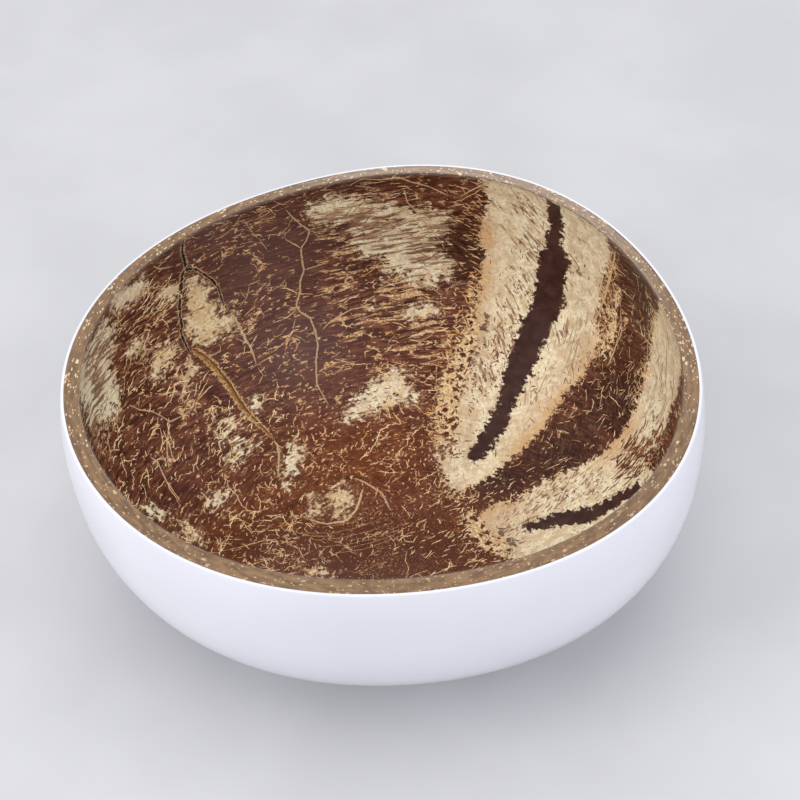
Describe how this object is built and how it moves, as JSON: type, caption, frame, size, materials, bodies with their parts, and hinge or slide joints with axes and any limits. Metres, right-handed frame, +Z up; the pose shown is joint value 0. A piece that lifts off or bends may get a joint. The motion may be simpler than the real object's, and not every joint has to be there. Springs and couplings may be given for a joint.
{
  "type": "coconut shell bowl",
  "caption": "Food bowl made of half a coconut shell, sawn flat at the rim and sanded flat at the base, with a gloss white lacquered outside and a clear varnished natural hollow.",
  "frame": {"origin": "middle of the flat sanded on the base, on the surface that the bowl stands on", "axes": "+Z up through the open mouth, +X along the long way across the mouth, -Y towards the thicker side of the wall"},
  "size_m": [0.1411, 0.1319, 0.058],
  "materials": {
    "coconut_shell": "dark brown shell with pale tan patches, stripes and fine cream fibres, smooth sanded",
    "white_lacquer": "smooth white gloss lacquer",
    "clear_varnish": "clear gloss varnish film"
  },
  "bodies": {
    "root": {"coconut_shell": "coconut_shell", "white_lacquer": "white_lacquer", "clear_varnish": "clear_varnish"}
  },
  "joints": []
}
